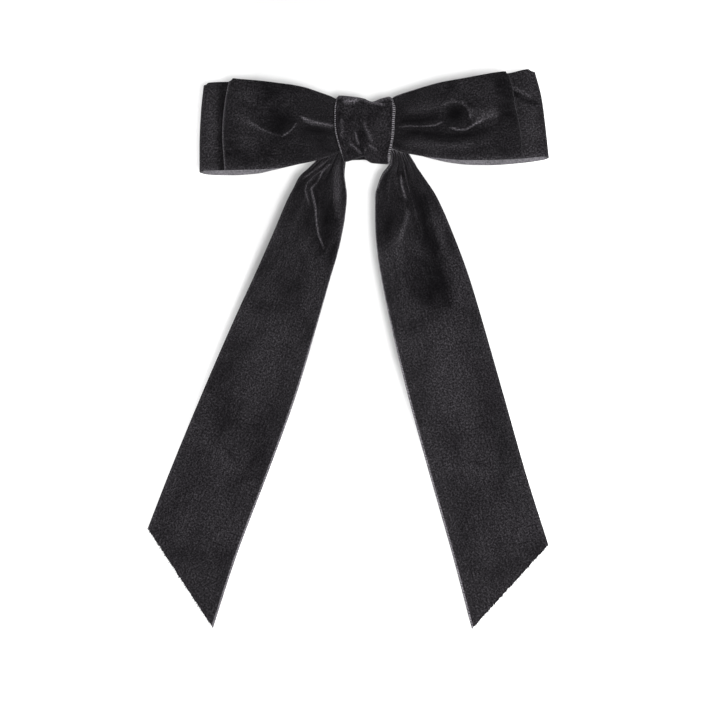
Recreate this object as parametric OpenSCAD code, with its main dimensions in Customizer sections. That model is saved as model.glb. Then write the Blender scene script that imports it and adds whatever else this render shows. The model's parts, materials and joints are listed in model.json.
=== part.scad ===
// Velvet ribbon bow with two loops, two long tails and a spring hair clip behind.
// It stands as worn: +X to the viewer's right, +Z up, -Y to the front, +Y to the head.
// The origin is the middle of the gap that grips the hair, between tension bar and arm.

/* [Ribbon] */
// Width of the ribbon of both loops
loop_ribbon_w = 36.4; // [29:0.2:44]
// Width of the ribbon of the tails
tail_ribbon_w = 37.6; // [30:0.2:46]
// Thickness of the velvet, pile included
ribbon_t = 1; // [0.6:0.1:1.4]
// Clearance between layers that lie on each other
lay_gap = 0.1; // [0.05:0.05:0.2]

/* [Knot] */
// Visible width of the ribbon wrapped round the middle
wrap_w = 20.2; // [16:0.2:25]
// Height of the gathered loops where they enter the wrap
gather_h = 19; // [16:0.2:23]
// Room between the gathered loops and the inside of the wrap, above them
wrap_room = 1.3; // [1.3:0.1:2.5]
// How far the gathered loops sit above the middle of the knot
gather_rise = 1.4; // [0:0.1:1.6]
// Thickness of each loop's gathered middle
bundle_t = 3; // [2.4:0.1:4]
// Thickness of the tails' gathered roots
root_t = 2.4; // [1.8:0.1:3.2]
// Diameter of the sewing thread
thread_d = 0.5; // [0.3:0.1:0.6]

/* [Front loop] */
// Middle of the knot to the left end fold
front_left = 56.6; // [46:0.2:62]
// Middle of the knot to the right end fold
front_right = 60.6; // [50:0.2:64]
// Depth of the front loop at its fullest
front_depth = 10.8; // [9.6:0.2:16]

/* [Rear loop] */
// Middle of the knot to the left end fold
rear_left = 66.2; // [62:0.2:80]
// Middle of the knot to the right end fold
rear_right = 71.2; // [66:0.2:86]
// Depth of the rear loop at its fullest
rear_depth = 7.4; // [7.2:0.2:11]
// Radius of every end fold, outside
fold_r = 2.6; // [2:0.1:3.4]

/* [Tilt] */
// How much the left loops tilt up at the knot, in degrees
left_tilt = 1; // [0:0.5:6]
// How much the right loops tilt up at the knot, in degrees
right_tilt = 5; // [0:0.5:8]

/* [Tails] */
// Lowest tip of both tails below the origin
tail_drop = 200.4; // [160:0.2:241]
// Lean of the left tail's middle line from straight down
left_tail_lean = 20.6; // [14:0.2:25]
// Lean of the right tail's middle line from straight down
right_tail_lean = 15.4; // [14:0.2:20]
// Length of the left tail's diagonal cut
left_cut = 48.2; // [44:0.2:56]
// Length of the right tail's diagonal cut
right_cut = 46.1; // [44:0.2:56]
// Thickness of each tail's gathered top
tail_top_t = 2.6; // [2:0.1:3]
// Width of each tail where it leaves the knot
neck_w = 13; // [10:0.5:15]
// Depth below the knot over which the gathers spread flat
gather_len = 46; // [30:1:60]

/* [Clip] */
// Length of the base plate
plate_len = 80; // [68:1:96]
// Width of the base plate
plate_w = 9.5; // [8:0.1:12]
// Thickness of the base plate
plate_t = 0.8; // [0.6:0.1:1]
// Rise of the plate's bow over its length
plate_rise = 3; // [2.5:0.1:4]
// Gap for the hair between the tension bar and the arm
grip_gap = 5; // [4.6:0.1:7]
// Width of the arm
arm_w = 5; // [4:0.1:5.4]
// Thickness of the arm
arm_t = 1; // [0.8:0.1:1.2]
// Width of the tension bar
bar_w = 5.4; // [4:0.1:6]
// Thickness of the tension bar
bar_t = 0.5; // [0.4:0.1:0.6]
// Travel of the tension bar when hair presses it
bar_travel = 1.2; // [0.8:0.1:1.4]
// Diameter of the hinge pin
pin_d = 1.6; // [1.2:0.1:2]
// Radial clearance of the arm's eye round the pin
pin_gap = 0.05; // [0.02:0.01:0.1]
// Diameter of the sewing holes
sew_hole_d = 1.8; // [1.4:0.1:2]
// Thickness of the catch's spring steel
catch_t = 0.5; // [0.4:0.1:0.6]

/* [Hidden] */
$fn = 64;
steps = 24; // points along each curved edge
tall = 200; // cutting blocks taller than any loop
mid = tall / 2;

// layers, from the head forwards: each value is a face's Y
arc_r = plate_len * plate_len / (8 * plate_rise) + plate_rise / 2; // the bowed plate's outer radius
in_r = arc_r - plate_t; // and its face towards the head
wrap_sag = in_r - sqrt(in_r * in_r - wrap_w * wrap_w / 4); // how far the plate bows within the wrap
bar_face = -grip_gap / 2;
bar_room = bar_travel + 0.4;
wrap_back = bar_face - bar_t - bar_room;
plate_back = wrap_back - ribbon_t - lay_gap - wrap_sag;
plate_front = plate_back - plate_t;
root_back = plate_front - lay_gap;
root_front = root_back - root_t;
rear_back = root_front - lay_gap;
rear_front = rear_back - bundle_t;
front_back = rear_front - lay_gap;
front_front = front_back - bundle_t;
rear_full = [rear_back, rear_back - rear_depth]; // the rear loop at its fullest, back and front
front_full = [rear_full[1] - 2 * lay_gap, rear_full[1] - front_depth];
wrap_inside = front_front - lay_gap;
wrap_front = wrap_inside - ribbon_t;

// places across the knot
wrap_x = wrap_w / 2;
knot_z = gather_rise + gather_h / 2 + wrap_room + ribbon_t;
back_half = plate_w / 2 + 0.3; // half the wrap's height behind the plate
root_top = back_half + 0.95; // the tails' roots inside the wrap, above and below the middle
root_low = back_half + 1.75;
lobe_x = wrap_x + 0.2; // the loops open from the wrap's edge
lobe_root = wrap_x - 2.4; // and start here, inside the gathered middle
hollow_x = lobe_x + 2.5; // their walls part here
bundle_x = wrap_x - 1;
bulge_share = 0.5; // where along its length a loop is fullest
rear_fold_in = 0.6; // the rear loop's end folds lie this far before its back wall

// tails
hinge_y = (root_back + root_front) / 2;
hinge_z = -knot_z - 1.6;
roll_r = tail_top_t / 2;
taper_z = hinge_z - gather_len;
full_z = hinge_z - 1.7 * gather_len; // the strips lie at full width below this
left_neck_x = 16; // middle of each neck, from the middle of the knot
right_neck_x = 12.6;
left_foot_x = 12.7; // where each straight middle line would meet the hinge
right_foot_x = 11.4;

// clip arcs, all round one centre behind the head side
arc_y = plate_front + arc_r;
arm_r = arc_y - grip_gap / 2; // the arm's face towards the plate
arm_lift = in_r - arm_r; // from the plate to the arm
end_turn = asin(plate_len / 2 / arc_r);
pin_turn = asin((plate_len / 2 - 2.2) / in_r);
catch_turn = asin((plate_len / 2 - 5.2) / in_r);
sew_turn = asin((plate_len / 2 - 12.5) / in_r);
slot_out = plate_len / 2 - 15.5; // the slots for the tension bar, from the middle
slot_len = 7;

// hinge end, measured from the plate's face outwards
pin_n = arm_lift + arm_t / 2;
eye_r = pin_d / 2 + pin_gap + 0.9;
ear_t = 0.8;
ear_r = pin_d / 2 + 1;
inside_ears = plate_w - 2 * ear_t;

// sewing holes and thread
sew_z = 2.6;

// tension bar
bar_rise = 0.8;
bar_tab_w = 3;
bar_half = slot_out - 0.6;
bar_r = bar_half * bar_half / (2 * bar_rise) + bar_rise / 2;
bar_wide_half = slot_out - slot_len - 0.3;

// catch, measured from the plate's face outwards
seat = 0.05; // play between the catch's web and the plate
wing_z = 1.7; // middle of each prong
wing_foot = seat + catch_t + 0.6; // height of the prongs' hinge bends
bend_r = 0.45;
barb_out = 0.9;
barb_gap = 0.15;
barb_t = 0.6;
wing_len = 3.2; // along the clip
tab_out = 7.4;
tab_drop = 3.2; // the finger tabs lie this far below the arm
window_z = wing_z + catch_t / 2 + 0.35; // half the arm's window
window_len = wing_len + 1;
head_w = 2 * window_z + 3;
head_len = 8.4;
rivet_d = 1.6;
rivet_t = 0.4;
rivet_x = -3.3; // from the prongs

function ease(t) = let (u = min(max(t, 0), 1)) u * u * (3 - 2 * u);
function blend(a, b, t) = a + (b - a) * t;
// Y of a loop's wall at x: from the gather, out to its fullest, in to the end fold
function wall_y(x, gather_y, full_y, end_y, reach) =
    let (full_x = blend(lobe_x, reach, bulge_share))
    x < full_x
        ? blend(gather_y, full_y, ease((x - lobe_x) / (full_x - lobe_x)))
        : blend(full_y, end_y, ease((x - full_x) / (reach - fold_r - full_x)));
// plan outline of one lobe; inset is 0 for its outside and the ribbon's thickness for its hollow
function lobe_plan(reach, gather, full, end_y, inset) =
    let (x0 = inset > 0 ? hollow_x : lobe_root, x1 = reach - fold_r, r = fold_r - inset)
    concat(
        [for (i = [0:steps]) let (x = blend(x0, x1, i / steps))
            [x, wall_y(x, gather[0], full[0], end_y + fold_r, reach) - inset]],
        [for (i = [1:steps / 2 - 1]) let (a = 90 - 360 * i / steps) [x1 + r * cos(a), end_y + r * sin(a)]],
        [for (i = [steps:-1:0]) let (x = blend(x0, x1, i / steps))
            [x, wall_y(x, gather[1], full[1], end_y - fold_r, reach) + inset]]
    );
// half the height of a lobe at x: gathered at the knot, full ribbon width towards the end fold
function lobe_half(x, reach) =
    blend(gather_h, loop_ribbon_w, pow(sin(90 * min(max((x - lobe_x) / (reach - lobe_x), 0), 1)), 0.8)) / 2;
function lobe_front(reach) =
    let (xs = [for (i = [0:steps]) blend(lobe_root, reach + 1, i / steps)])
    concat(
        [for (x = xs) [x, gather_rise + lobe_half(x, reach)]],
        [for (i = [steps:-1:0]) [xs[i], gather_rise - lobe_half(xs[i], reach)]]
    );

// a loop's lobe to the right, its walls cut to the front outline
module lobe(reach, tilt, gather, full, end_y) {
    translate([lobe_x, 0, gather_rise]) rotate([0, -tilt, 0]) translate([-lobe_x, 0, -gather_rise])
        intersection() {
            translate([0, 0, -mid]) linear_extrude(tall) difference() {
                polygon(lobe_plan(reach, gather, full, end_y, 0));
                polygon(lobe_plan(reach, gather, full, end_y, ribbon_t));
            }
            translate([0, mid, 0]) rotate([90, 0, 0]) linear_extrude(tall) polygon(lobe_front(reach));
        }
}
// both lobes of one ribbon ring with its gathered middle, waisted where the thread binds it
module loop_ring(left, right, gather, full, end_y) {
    lobe(right, right_tilt, gather, full, end_y);
    mirror([1, 0, 0]) lobe(left, left_tilt, gather, full, end_y);
    difference() {
        translate([-bundle_x, gather[1], gather_rise - gather_h / 2])
            cube([2 * bundle_x, gather[0] - gather[1], gather_h]);
        thread_room();
    }
}
module front_loop() {
    color("#1b1b20")
        loop_ring(front_left, front_right, [front_back, front_front],
            front_full, front_full[0] - fold_r);
}
module rear_loop() {
    color("#222227")
        loop_ring(rear_left, rear_right, [rear_back, rear_front],
            rear_full, rear_full[0] - fold_r - rear_fold_in);
}

// band of thread turns round the loops' gathered middles
bind_w = 3;
module thread_room() {
    room = thread_d + lay_gap;
    difference() {
        translate([-bind_w / 2 - lay_gap, front_front - 1, gather_rise - gather_h / 2 - 1])
            cube([bind_w + 2 * lay_gap, rear_back - front_front + 2, gather_h + 2]);
        translate([-bind_w, front_front + room, gather_rise - gather_h / 2 + room])
            cube([2 * bind_w, rear_back - front_front - 2 * room, gather_h - 2 * room]);
    }
}
module gather_thread() {
    turns = 4;
    color("#141416") for (i = [0:turns - 1])
        translate([-bind_w / 2 + i * (bind_w - thread_d) / (turns - 1), 0, 0]) difference() {
            translate([0, front_front, gather_rise - gather_h / 2])
                cube([thread_d, rear_back - front_front, gather_h]);
            translate([-1, front_front + thread_d, gather_rise - gather_h / 2 + thread_d])
                cube([thread_d + 2, rear_back - front_front - 2 * thread_d, gather_h - 2 * thread_d]);
        }
}

// the tails: root gathered behind the loops, then a hinge roll and the strip that spreads flat
module tail_root(side, neck_x) {
    inner = wrap_x + 0.3;
    low = hinge_z + roll_r + 0.2;
    color("#1a1a1e") translate([0, root_back, 0]) rotate([90, 0, 0]) linear_extrude(root_t)
        polygon([
            [side * 0.4, root_top], [side * inner, root_top - 0.8], [side * (neck_x + 3), -back_half],
            [side * (neck_x + neck_w / 2), low], [side * inner, low],
            [side * inner, -root_low], [side * 0.4, -root_low]
        ]);
}
module tail(side, lean, cut, neck_x, foot_x, spread_pow) {
    top = hinge_z + roll_r;
    half = tail_ribbon_w / (2 * cos(lean));
    tip_z = -tail_drop;
    cut_run = sqrt(cut * cut - tail_ribbon_w * tail_ribbon_w); // along the strip
    corner_z = tip_z + cut_run * cos(lean) + tail_ribbon_w * sin(lean);
    function centre(z) = foot_x + (hinge_z - z) * tan(lean)
        + (neck_x - foot_x) * (1 - ease((hinge_z - z) / (hinge_z - full_z)));
    function spread(z) = pow(sin(90 * min(1, (top - z) / (top - full_z))), spread_pow);
    function half_at(z) = blend(neck_w / 2, half, spread(z));
    zs = [for (i = [0:steps]) blend(top, full_z, i / steps)];
    color("#18181b") intersection() {
        translate([0, mid, 0]) rotate([90, 0, 0]) linear_extrude(tall) polygon(concat(
            [for (z = zs) [side * (centre(z) - half_at(z)), z]],
            [[side * (centre(tip_z) - half), tip_z]],
            [[side * (centre(corner_z) + half), corner_z]],
            [for (i = [steps:-1:0]) [side * (centre(zs[i]) + half_at(zs[i])), zs[i]]]
        ));
        translate([-mid, hinge_y, 0]) rotate([90, 0, 90]) linear_extrude(tall) {
            translate([0, hinge_z]) circle(roll_r);
            polygon([
                [-roll_r, hinge_z], [-ribbon_t / 2, taper_z], [-ribbon_t / 2, tip_z - 1],
                [ribbon_t / 2, tip_z - 1], [ribbon_t / 2, taper_z], [roll_r, hinge_z]
            ]);
        }
    }
}
module left_tail() { tail(-1, left_tail_lean, left_cut, left_neck_x, left_foot_x, 0.85); }
module right_tail() { tail(1, right_tail_lean, right_cut, right_neck_x, right_foot_x, 0.6); }
module left_tail_root() { tail_root(-1, left_neck_x); }
module right_tail_root() { tail_root(1, right_neck_x); }

// the wrap: one turn of narrower ribbon round loops, roots and plate
function corner(y, z, r, from) = [for (a = [0:15:90]) [y + r * cos(from - a), z + r * sin(from - a)]];
// side outline as [y, z]: upright front, straight top and bottom, drawn in to the plate behind
function wrap_side(front, top, shoulder, back, back_half, r) = concat(
    corner(front + r, -top + r, r, 270),
    corner(front + r, top - r, r, 180),
    [[shoulder, top], [back, back_half], [back, -back_half], [shoulder, -top]]
);
module centre_wrap() {
    turn_r = 1.2; // inside radius of its turns at the front
    color("#202024") translate([-wrap_x, 0, 0]) rotate([90, 0, 90]) linear_extrude(wrap_w) difference() {
        polygon(wrap_side(wrap_front, knot_z, root_front + ribbon_t / 2, wrap_back,
            back_half + 0.9 * ribbon_t, turn_r + ribbon_t));
        polygon(wrap_side(wrap_inside, knot_z - ribbon_t, root_front, wrap_back - ribbon_t,
            back_half, turn_r));
    }
}
module wrap_stitches() {
    count = 6;
    edge = 2.5; // first stitch from the wrap's edge
    pitch = (wrap_w - 2 * edge) / (count - 1);
    color("#101012") for (i = [0:count - 1])
        translate([-wrap_x + edge + i * pitch - thread_d / 2, wrap_back + 0.02, -back_half + 0.4])
            cube([thread_d, 0.3, 1.5]);
}

// a place on the plate's face: x along the clip, y out from the plate, z across
module on_plate(turn) translate([0, arc_y, 0]) rotate([0, 0, turn]) translate([0, -in_r, 0]) children();
// a bowed strip, from its outer radius inwards
module arc_strip(r, t, w, from, to)
    translate([0, arc_y, 0]) rotate([0, 0, from - 90]) rotate_extrude(angle = to - from, $fn = 180)
        translate([r - t, -w / 2]) square([t, w]);
// a straight round piece through the plate, from n0 to n1
module through(d, n0, n1) translate([0, n0, 0]) rotate([-90, 0, 0]) cylinder(d = d, h = n1 - n0);

module plate_stitches() {
    thread = thread_d * 1.5;
    reach = in_r - plate_t / 2 - (arc_y - rear_full[0]) / cos(sew_turn);
    color("#101012") for (side = [-1, 1]) on_plate(side * sew_turn) {
        translate([-thread / 2, 0.05, -sew_z - thread / 2]) cube([thread, thread, 2 * sew_z + thread]);
        for (z = [-sew_z, sew_z]) translate([0, 0, z]) through(thread, reach + 0.5, 0.3);
    }
}
module clip_plate() {
    color("#b9bbbf") difference() {
        union() {
            arc_strip(arc_r, plate_t, plate_w, -end_turn, end_turn);
            on_plate(-pin_turn) for (z = [-plate_w / 2, plate_w / 2 - ear_t]) translate([0, 0, z])
                linear_extrude(ear_t) {
                    translate([0, pin_n]) circle(ear_r);
                    polygon([[-2, -plate_t / 2], [2.8, -plate_t / 2], [ear_r, pin_n], [-ear_r, pin_n]]);
                }
        }
        on_plate(-pin_turn) translate([0, pin_n, -plate_w]) cylinder(d = pin_d, h = 2 * plate_w);
        for (side = [-1, 1]) on_plate(side * sew_turn) for (z = [-sew_z, sew_z])
            translate([0, 0, z]) through(sew_hole_d, -2, 1);
        for (side = [0, 1]) mirror([side, 0, 0])
            translate([slot_out - slot_len, plate_front - 1, -bar_tab_w / 2 - 0.3])
                cube([slot_len, 6, bar_tab_w + 0.6]);
        on_plate(catch_turn) translate([rivet_x, 0, 0]) through(rivet_d, -2, 1);
    }
}
module hinge_pin() {
    color("#c9cbd0") on_plate(-pin_turn) translate([0, pin_n, -plate_w / 2 - 0.3])
        cylinder(d = pin_d, h = plate_w + 0.6);
}
module clip_arm() {
    color("#b4b6bb") difference() {
        union() {
            arc_strip(arm_r, arm_t, arm_w, -pin_turn, catch_turn - asin((window_len / 2 + 1) / in_r));
            on_plate(-pin_turn) translate([0, pin_n, -inside_ears / 2 + 0.15])
                cylinder(r = eye_r, h = inside_ears - 0.3);
            on_plate(catch_turn) difference() {
                translate([-head_len / 2, arm_lift, -head_w / 2]) cube([head_len, arm_t, head_w]);
                translate([-window_len / 2, arm_lift - 1, -window_z])
                    cube([window_len, arm_t + 2, 2 * window_z]);
            }
        }
        on_plate(-pin_turn) translate([0, pin_n, -plate_w])
            cylinder(r = pin_d / 2 + pin_gap, h = 2 * plate_w);
    }
}
module tension_bar() {
    turn = asin(bar_half / bar_r);
    tab_top = bar_face - bar_rise;
    tab_low = arc_y - sqrt(arc_r * arc_r - bar_half * bar_half);
    color("#c2c4c9") {
        difference() {
            translate([0, bar_face - bar_r, 0]) rotate([0, 0, 90 - turn])
                rotate_extrude(angle = 2 * turn, $fn = 180)
                    translate([bar_r - bar_t, -bar_w / 2]) square([bar_t, bar_w]);
            for (x = [0, 1]) mirror([x, 0, 0]) for (z = [0, 1]) mirror([0, 0, z])
                translate([bar_wide_half, bar_face - 5, bar_tab_w / 2]) cube([10, 10, bar_w]);
        }
        for (side = [0, 1]) mirror([side, 0, 0])
            translate([bar_half - bar_t, tab_low, -bar_tab_w / 2])
                cube([bar_t, tab_top - tab_low, bar_tab_w]);
    }
}
module catch_base() {
    color("#b0b2b7") on_plate(catch_turn) difference() {
        translate([rivet_x - 1.7, seat, -wing_z - 0.6])
            cube([1.7 - rivet_x + wing_len / 2, catch_t, 2 * wing_z + 1.2]);
        translate([rivet_x, 0, 0]) through(rivet_d, -1, 2);
    }
}
module catch_rivet() {
    color("#c9cbd0") on_plate(catch_turn) translate([rivet_x, 0, 0]) {
        through(rivet_d, -plate_t - rivet_t, seat + catch_t + rivet_t);
        through(rivet_d + 1.4, -plate_t - rivet_t, -plate_t - 0.01);
        through(rivet_d + 1.2, seat + catch_t, seat + catch_t + rivet_t);
    }
}
// one prong with its hinge bend, barb and finger tab, on the +Z side
module catch_wing() {
    barb_n = arm_lift + arm_t + barb_gap;
    translate([-wing_len / 2, 0, 0]) {
        translate([0, wing_foot, wing_z]) rotate([0, 90, 0]) cylinder(r = bend_r, h = wing_len);
        translate([0, wing_foot, wing_z - catch_t / 2])
            cube([wing_len, barb_n + barb_t - wing_foot, catch_t]);
        translate([0, barb_n, wing_z - catch_t / 2]) cube([wing_len, barb_t, catch_t + barb_out]);
        translate([0, arm_lift - tab_drop, wing_z - catch_t / 2])
            cube([wing_len, catch_t, tab_out - wing_z + catch_t / 2]);
    }
}
module catch_wing_upper() { color("#bcbec3") on_plate(catch_turn) catch_wing(); }
module catch_wing_lower() { color("#bcbec3") on_plate(catch_turn) mirror([0, 0, 1]) catch_wing(); }

front_loop();
rear_loop();
left_tail();
right_tail();
left_tail_root();
right_tail_root();
centre_wrap();
gather_thread();
wrap_stitches();
plate_stitches();
clip_plate();
hinge_pin();
clip_arm();
tension_bar();
catch_base();
catch_rivet();
catch_wing_upper();
catch_wing_lower();
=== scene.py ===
# A velvet ribbon bow with two loops, two long tails, a centre wrap and a spring hair clip.
# Places are in millimetres and become metres as each mesh is placed.
import json
import math
import random

import bmesh
import bpy
from mathutils import Matrix, Vector


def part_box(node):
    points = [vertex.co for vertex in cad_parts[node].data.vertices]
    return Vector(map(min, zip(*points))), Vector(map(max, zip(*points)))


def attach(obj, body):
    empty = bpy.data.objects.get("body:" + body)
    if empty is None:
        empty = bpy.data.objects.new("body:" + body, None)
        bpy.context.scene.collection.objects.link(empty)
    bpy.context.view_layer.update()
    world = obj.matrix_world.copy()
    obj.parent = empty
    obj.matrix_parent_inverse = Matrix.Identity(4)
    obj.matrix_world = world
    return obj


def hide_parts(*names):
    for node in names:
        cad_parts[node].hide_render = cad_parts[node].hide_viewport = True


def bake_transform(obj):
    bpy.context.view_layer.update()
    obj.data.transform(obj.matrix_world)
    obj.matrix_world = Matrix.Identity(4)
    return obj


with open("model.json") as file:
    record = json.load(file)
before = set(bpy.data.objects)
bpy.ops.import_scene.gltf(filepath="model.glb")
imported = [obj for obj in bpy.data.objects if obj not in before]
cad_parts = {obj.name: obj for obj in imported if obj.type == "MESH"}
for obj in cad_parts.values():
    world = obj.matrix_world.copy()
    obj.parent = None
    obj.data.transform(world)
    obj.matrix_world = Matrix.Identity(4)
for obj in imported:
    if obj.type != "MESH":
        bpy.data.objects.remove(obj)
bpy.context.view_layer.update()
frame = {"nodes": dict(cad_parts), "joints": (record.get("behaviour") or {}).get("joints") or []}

MM = 0.001


def box_mm(node):
    """Lowest and highest corner of a CAD node in millimetres."""
    low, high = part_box(node)
    return low / MM, high / MM


# ---------------------------------------------------------------- driving sizes
RIBBON_T = 0.9  # velvet ribbon, pile included
LOOP_W = 36.4
TAIL_W = 37.6
WRAP_W = 24.6
WRAP_T = 0.8
SELVEDGE = 0.8  # the woven edge that shows along the inner side of a tail
NO_SELVEDGE = 9.0  # pile right up to the rim
KNOT_X = 8.0  # the loops leave the gathered middle here, under the wrap
WRAP_EDGE = 11.8  # and come out from under it here
GATHERED_IN = 12.0  # length of each tail that is bunched inside the knot
FOLD_STEPS = 10  # stations round an end fold

EYE = Vector((-4.4, -805.0, -89.9))  # the viewpoint
THREAD_LOW, THREAD_HIGH = box_mm("gather_thread")
FRONT_LOW, FRONT_HIGH = box_mm("front_loop")
REAR_LOW, REAR_HIGH = box_mm("rear_loop")
WRAP_LOW, WRAP_HIGH = box_mm("centre_wrap")
JOINTS = {joint["name"]: joint for joint in frame["joints"]}
HINGE = Vector(JOINTS["left_tail_swing"]["pos_m"]) / MM
FLAT_Y = HINGE.y  # the plane in which both tails hang
RISE = 1.4  # the loops sit this far above the middle of the clip


def at_depth(x, z, y):
    """The point at depth y that covers (x, z) of the tails' plane from the viewpoint."""
    share = (y - EYE.y) / (FLAT_Y - EYE.y)
    return Vector((EYE.x + (x - EYE.x) * share, y, EYE.z + (z - EYE.z) * share))


# ---------------------------------------------------------------- small maths
def clamp(t, low=0.0, high=1.0):
    return min(max(t, low), high)


def smooth(t):
    t = clamp(t)
    return t * t * (3 - 2 * t)


def mix(a, b, t):
    return a + (b - a) * t


def through(*points):
    """A smooth function through (place, value) pairs, level beyond both ends."""
    xs = [p[0] for p in points]
    ys = [p[1] for p in points]
    rise = [(ys[i + 1] - ys[i]) / (xs[i + 1] - xs[i]) for i in range(len(xs) - 1)]
    slope = [rise[0]]
    for before, after in zip(rise, rise[1:]):
        slope.append(0.0 if before * after <= 0 else 2 * before * after / (before + after))
    slope.append(rise[-1])

    def value(x):
        if x <= xs[0]:
            return ys[0]
        if x >= xs[-1]:
            return ys[-1]
        i = 0
        while x > xs[i + 1]:
            i += 1
        span = xs[i + 1] - xs[i]
        t = (x - xs[i]) / span
        return (ys[i] * (2 * t ** 3 - 3 * t ** 2 + 1) + slope[i] * span * (t ** 3 - 2 * t ** 2 + t)
                + ys[i + 1] * (3 * t ** 2 - 2 * t ** 3) + slope[i + 1] * span * (t ** 3 - t ** 2))
    return value


# ---------------------------------------------------------------- creases and dents
class Crease:
    """A fold pressed into cloth along a line of (x, z) points: height is towards the front, light above zero
    paints a highlight along the line and light below zero paints shade.
    """

    def __init__(self, points, width, height, light=0.0, line=0.7):
        self.points = points
        self.width = width
        self.height = height
        self.light = light
        self.line = line
        self.reach = 3.2 * width
        runs = [math.dist(a, b) for a, b in zip(points, points[1:])]
        self.length = sum(runs)
        self.starts = [sum(runs[:i]) for i in range(len(runs))]
        self.runs = runs
        self.box = (min(p[0] for p in points) - self.reach, max(p[0] for p in points) + self.reach,
                    min(p[1] for p in points) - self.reach, max(p[1] for p in points) + self.reach)

    def at(self, x, z):
        """How far the cloth moves to the front at (x, z), and the painted light on its pile there: highlight
        above zero, shade below.
        """
        if not (self.box[0] < x < self.box[1] and self.box[2] < z < self.box[3]):
            return 0.0, 0.0
        best, along = 1e9, 0.0
        for (ax, az), (bx, bz), start, run in zip(self.points, self.points[1:], self.starts, self.runs):
            t = clamp(((x - ax) * (bx - ax) + (z - az) * (bz - az)) / (run * run))
            gap = math.hypot(x - mix(ax, bx, t), z - mix(az, bz, t))
            if gap < best:
                best, along = gap, start + t * run
        ends = smooth(0.3 + 5 * along / self.length) * smooth(0.3 + 5 * (1 - along / self.length))
        push = self.height * ends * math.exp(-(best / self.width) ** 2)
        return push, self.light * ends * math.exp(-(best / self.line) ** 2)


class Dent:
    """A round hollow or hump in cloth: height is towards the front, light above zero paints a highlight on it
    and light below zero paints shade.
    """

    def __init__(self, x, z, across, up, height, light=0.0, turn=0.0):
        self.x, self.z = x, z
        self.across, self.up = across, up
        self.height, self.light = height, light
        self.c, self.s = math.cos(math.radians(turn)), math.sin(math.radians(turn))

    def at(self, x, z):
        dx, dz = x - self.x, z - self.z
        u = (dx * self.c + dz * self.s) / self.across
        v = (dz * self.c - dx * self.s) / self.up
        far = u * u + v * v
        if far > 9:
            return 0.0, 0.0
        fall = math.exp(-far)
        return self.height * fall, self.light * fall


def pressed(features, x, z):
    """What all creases and dents do together at (x, z)."""
    push = light = 0.0
    for feature in features:
        one, other = feature.at(x, z)
        push += one
        light += other
    return push, light


# ---------------------------------------------------------------- cloth strips
def finish_mesh(bm, name, materials):
    """A shaded object from a bmesh, with these materials in order."""
    mesh = bpy.data.meshes.new(name)
    bm.to_mesh(mesh)
    bm.free()
    mesh.shade_smooth()
    for material in materials:
        mesh.materials.append(material)
    made = bpy.data.objects.new(name, mesh)
    bpy.context.scene.collection.objects.link(made)
    return made


def cloth_strip(name, rows, columns, place, materials, closed=False, thick=RIBBON_T):
    """A strip of ribbon from a grid: place(u, v) gives its point, its flat place and the painted light on its
    pile: highlight above zero, shade below.

    u runs along the ribbon and v across it, both from 0 to 1. The pile faces out, and the
    materials are the pile, the wrong side and the cut or woven edges."""
    bm = bmesh.new()
    bmesh.ops.create_grid(bm, x_segments=rows, y_segments=columns, size=1.0)
    low = min(v.co.x for v in bm.verts)
    span = max(v.co.x for v in bm.verts) - low
    flat = {}
    pile = bm.verts.layers.float.new("pile")
    edge = bm.verts.layers.float.new("selvedge")
    for vert in bm.verts:
        u = (vert.co.x - low) / span
        v = (vert.co.y - low) / span
        spot, lay, painted_light = place(u, v)
        flat[vert] = lay
        # the pile attribute holds painted light: a highlight above zero, shade below zero
        vert[pile] = painted_light
        vert[edge] = lay[2]
        vert.co = spot * MM
    lay_map = bm.loops.layers.uv.new("lay")
    for face in bm.faces:
        for loop in face.loops:
            loop[lay_map].uv = flat[loop.vert][:2]
    if closed:
        bmesh.ops.remove_doubles(bm, verts=bm.verts, dist=1e-7)
    strip = finish_mesh(bm, name, materials)
    wall = strip.modifiers.new("thickness", "SOLIDIFY")
    wall.thickness = thick * MM
    wall.offset = -1
    wall.use_rim = True
    wall.material_offset = 1
    wall.material_offset_rim = 2
    wall.use_even_offset = False
    bpy.context.view_layer.update()
    solid = bpy.data.meshes.new_from_object(strip.evaluated_get(bpy.context.evaluated_depsgraph_get()))
    strip.modifiers.clear()
    strip.data = solid
    solid.name = name
    return strip


def from_edge(v, width, low, high):
    """Distance from the nearer rim at v across a ribbon, in widths of the woven edge there."""
    return min(v * width / low, (1 - v) * width / high)


# ---------------------------------------------------------------- finishes
class Value:
    """A shader output that can be added, multiplied and so on, with numbers or others."""

    def __init__(self, finish, socket):
        self.finish = finish
        self.socket = socket

    def math(self, operation, other=None, swapped=False):
        sides = [self] if other is None else [self, other]
        if swapped:
            sides.reverse()
        return self.finish.node("Math", {"operation": operation}, dict(enumerate(sides)))

    def __add__(self, other):
        return self.math("ADD", other)

    def __radd__(self, other):
        return self.math("ADD", other)

    def __sub__(self, other):
        return self.math("SUBTRACT", other)

    def __rsub__(self, other):
        return self.math("SUBTRACT", other, swapped=True)

    def __mul__(self, other):
        return self.math("MULTIPLY", other)

    def __rmul__(self, other):
        return self.math("MULTIPLY", other)

    def __pow__(self, other):
        return self.math("POWER", other)


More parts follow.
